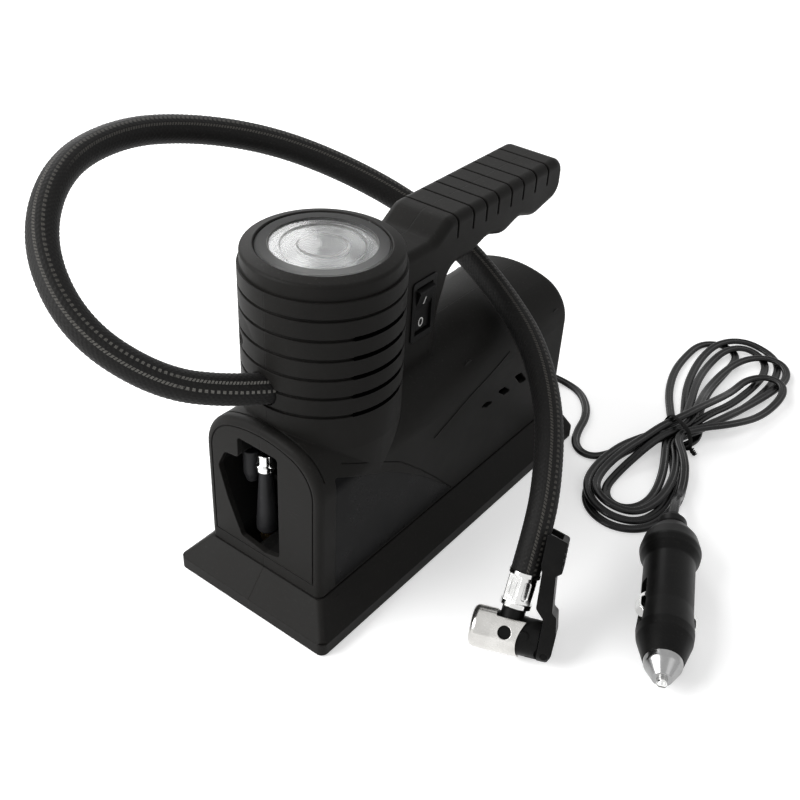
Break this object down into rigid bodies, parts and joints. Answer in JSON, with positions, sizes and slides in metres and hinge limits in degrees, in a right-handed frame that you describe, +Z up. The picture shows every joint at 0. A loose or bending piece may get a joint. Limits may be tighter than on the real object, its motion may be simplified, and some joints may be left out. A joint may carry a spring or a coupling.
{
  "type": "portable tire inflator",
  "caption": "Compact black tyre inflator with lamp tower, grip, braided hose with lever chuck, and a coiled power cord with a car socket plug.",
  "frame": {"origin": "centre of the base's underside", "axes": "+Z up, +Y towards the end with the power cord, +X towards the side that the switch and the label face"},
  "size_m": [0.2543, 0.3578, 0.1636],
  "materials": {
    "body_plastic": "matte",
    "label_black": "gloss",
    "steel": "satin",
    "rubber": "matte",
    "clear_glass": "gloss",
    "chrome": "polished",
    "brass": "satin",
    "gloss_black": "gloss",
    "grey_plastic": "matte",
    "nylon": "satin",
    "cast_metal": "satin",
    "magnet": "matte",
    "hose_braid": "matte",
    "cord_cover": "satin"
  },
  "bodies": {
    "housing": {"housing_left": "body_plastic", "housing_right": "body_plastic", "accessory_tray": "body_plastic", "light_bezel": "body_plastic", "label_plate": "label_black", "housing_screws": "steel", "motor_can": "steel", "chuck_sleeve": "steel", "hose_stem": "steel", "tie_screws": "steel", "motor_screws": "steel", "rubber_feet": "rubber", "lens_seal": "rubber", "chuck_seal": "rubber", "cord_grip": "rubber", "lens": "clear_glass", "lamp_bulb": "clear_glass", "reflector": "chrome", "nozzle_head": "chrome", "ball_needle": "chrome", "hose_ferrule": "chrome", "plug_nose_ring": "chrome", "plug_side_contacts": "chrome", "plug_spring": "chrome", "nozzle_tip": "brass", "shaft_bearing": "brass", "switch_frame": "gloss_black", "chuck_body": "gloss_black", "plug_body": "gloss_black", "motor_end_cap": "gloss_black", "lamp_holder": "gloss_black", "nozzle_body": "grey_plastic", "valve_adapter": "grey_plastic", "cylinder": "cast_metal", "valve_plate": "cast_metal", "cylinder_head": "cast_metal", "pump_frame": "cast_metal", "motor_magnets": "magnet", "air_hose": "hose_braid", "power_cord": "cord_cover", "cord_hank": "cord_cover", "cord_tail": "cord_cover", "cord_tie": "cord_cover"},
    "rotor": {"armature": "steel", "pinion": "nylon"},
    "crank": {"crank_gear": "nylon", "crank_pin": "steel"},
    "rod": {"connecting_rod": "cast_metal", "rod_pin": "steel"},
    "piston_body": {"piston": "cast_metal", "piston_seal": "rubber"},
    "rocker_body": {"rocker": "gloss_black"},
    "lever_body": {"chuck_lever": "gloss_black", "lever_pin": "steel"},
    "plunger_body": {"chuck_plunger": "grey_plastic"},
    "tip_body": {"plug_tip": "chrome", "plug_fuse": "brass"}
  },
  "joints": [
    {"name": "rotor_spin", "type": "hinge", "parent": "housing", "child": "rotor", "pos_m": [0, -0.0083, 0.0231], "axis": [0, 1, 0], "continuous": true},
    {"name": "crank_spin", "type": "hinge", "parent": "housing", "child": "crank", "pos_m": [0, -0.0428, 0.042], "axis": [0, 1, 0], "continuous": true},
    {"name": "rod_swing", "type": "hinge", "parent": "crank", "child": "rod", "pos_m": [0, -0.0493, 0.047], "axis": [0, 1, 0], "continuous": true},
    {"name": "piston_slide", "type": "slide", "parent": "housing", "child": "piston_body", "axis": [0, 0, 1], "range_m": [-0.01, 0]},
    {"name": "rocker_tilt", "type": "hinge", "parent": "housing", "child": "rocker_body", "pos_m": [0.0116, -0.0071, 0.1068], "axis": [0, 1, 0], "range_deg": [-18, 0]},
    {"name": "lever_swing", "type": "hinge", "parent": "housing", "child": "lever_body", "pos_m": [0.10315, -0.03868, 0.00464], "axis": [-0.318, 0.7862, -0.5299], "range_deg": [0, 54]},
    {"name": "plunger_push", "type": "slide", "parent": "housing", "child": "plunger_body", "axis": [0.927, 0.375, 0], "range_m": [0, 0.0014]},
    {"name": "tip_push", "type": "slide", "parent": "housing", "child": "tip_body", "axis": [0.4079, -0.9124, -0.0337], "range_m": [-0.0015, 0], "stiffness_N_per_m": 600}
  ],
  "couplings": [
    {"joint": "crank_spin", "follows": "rotor_spin", "ratio": -0.28571},
    {"joint": "rod_swing", "follows": "rotor_spin", "ratio": 0.28571},
    {"joint": "plunger_push", "follows": "lever_swing", "m_per_rad": 0.0014}
  ]
}
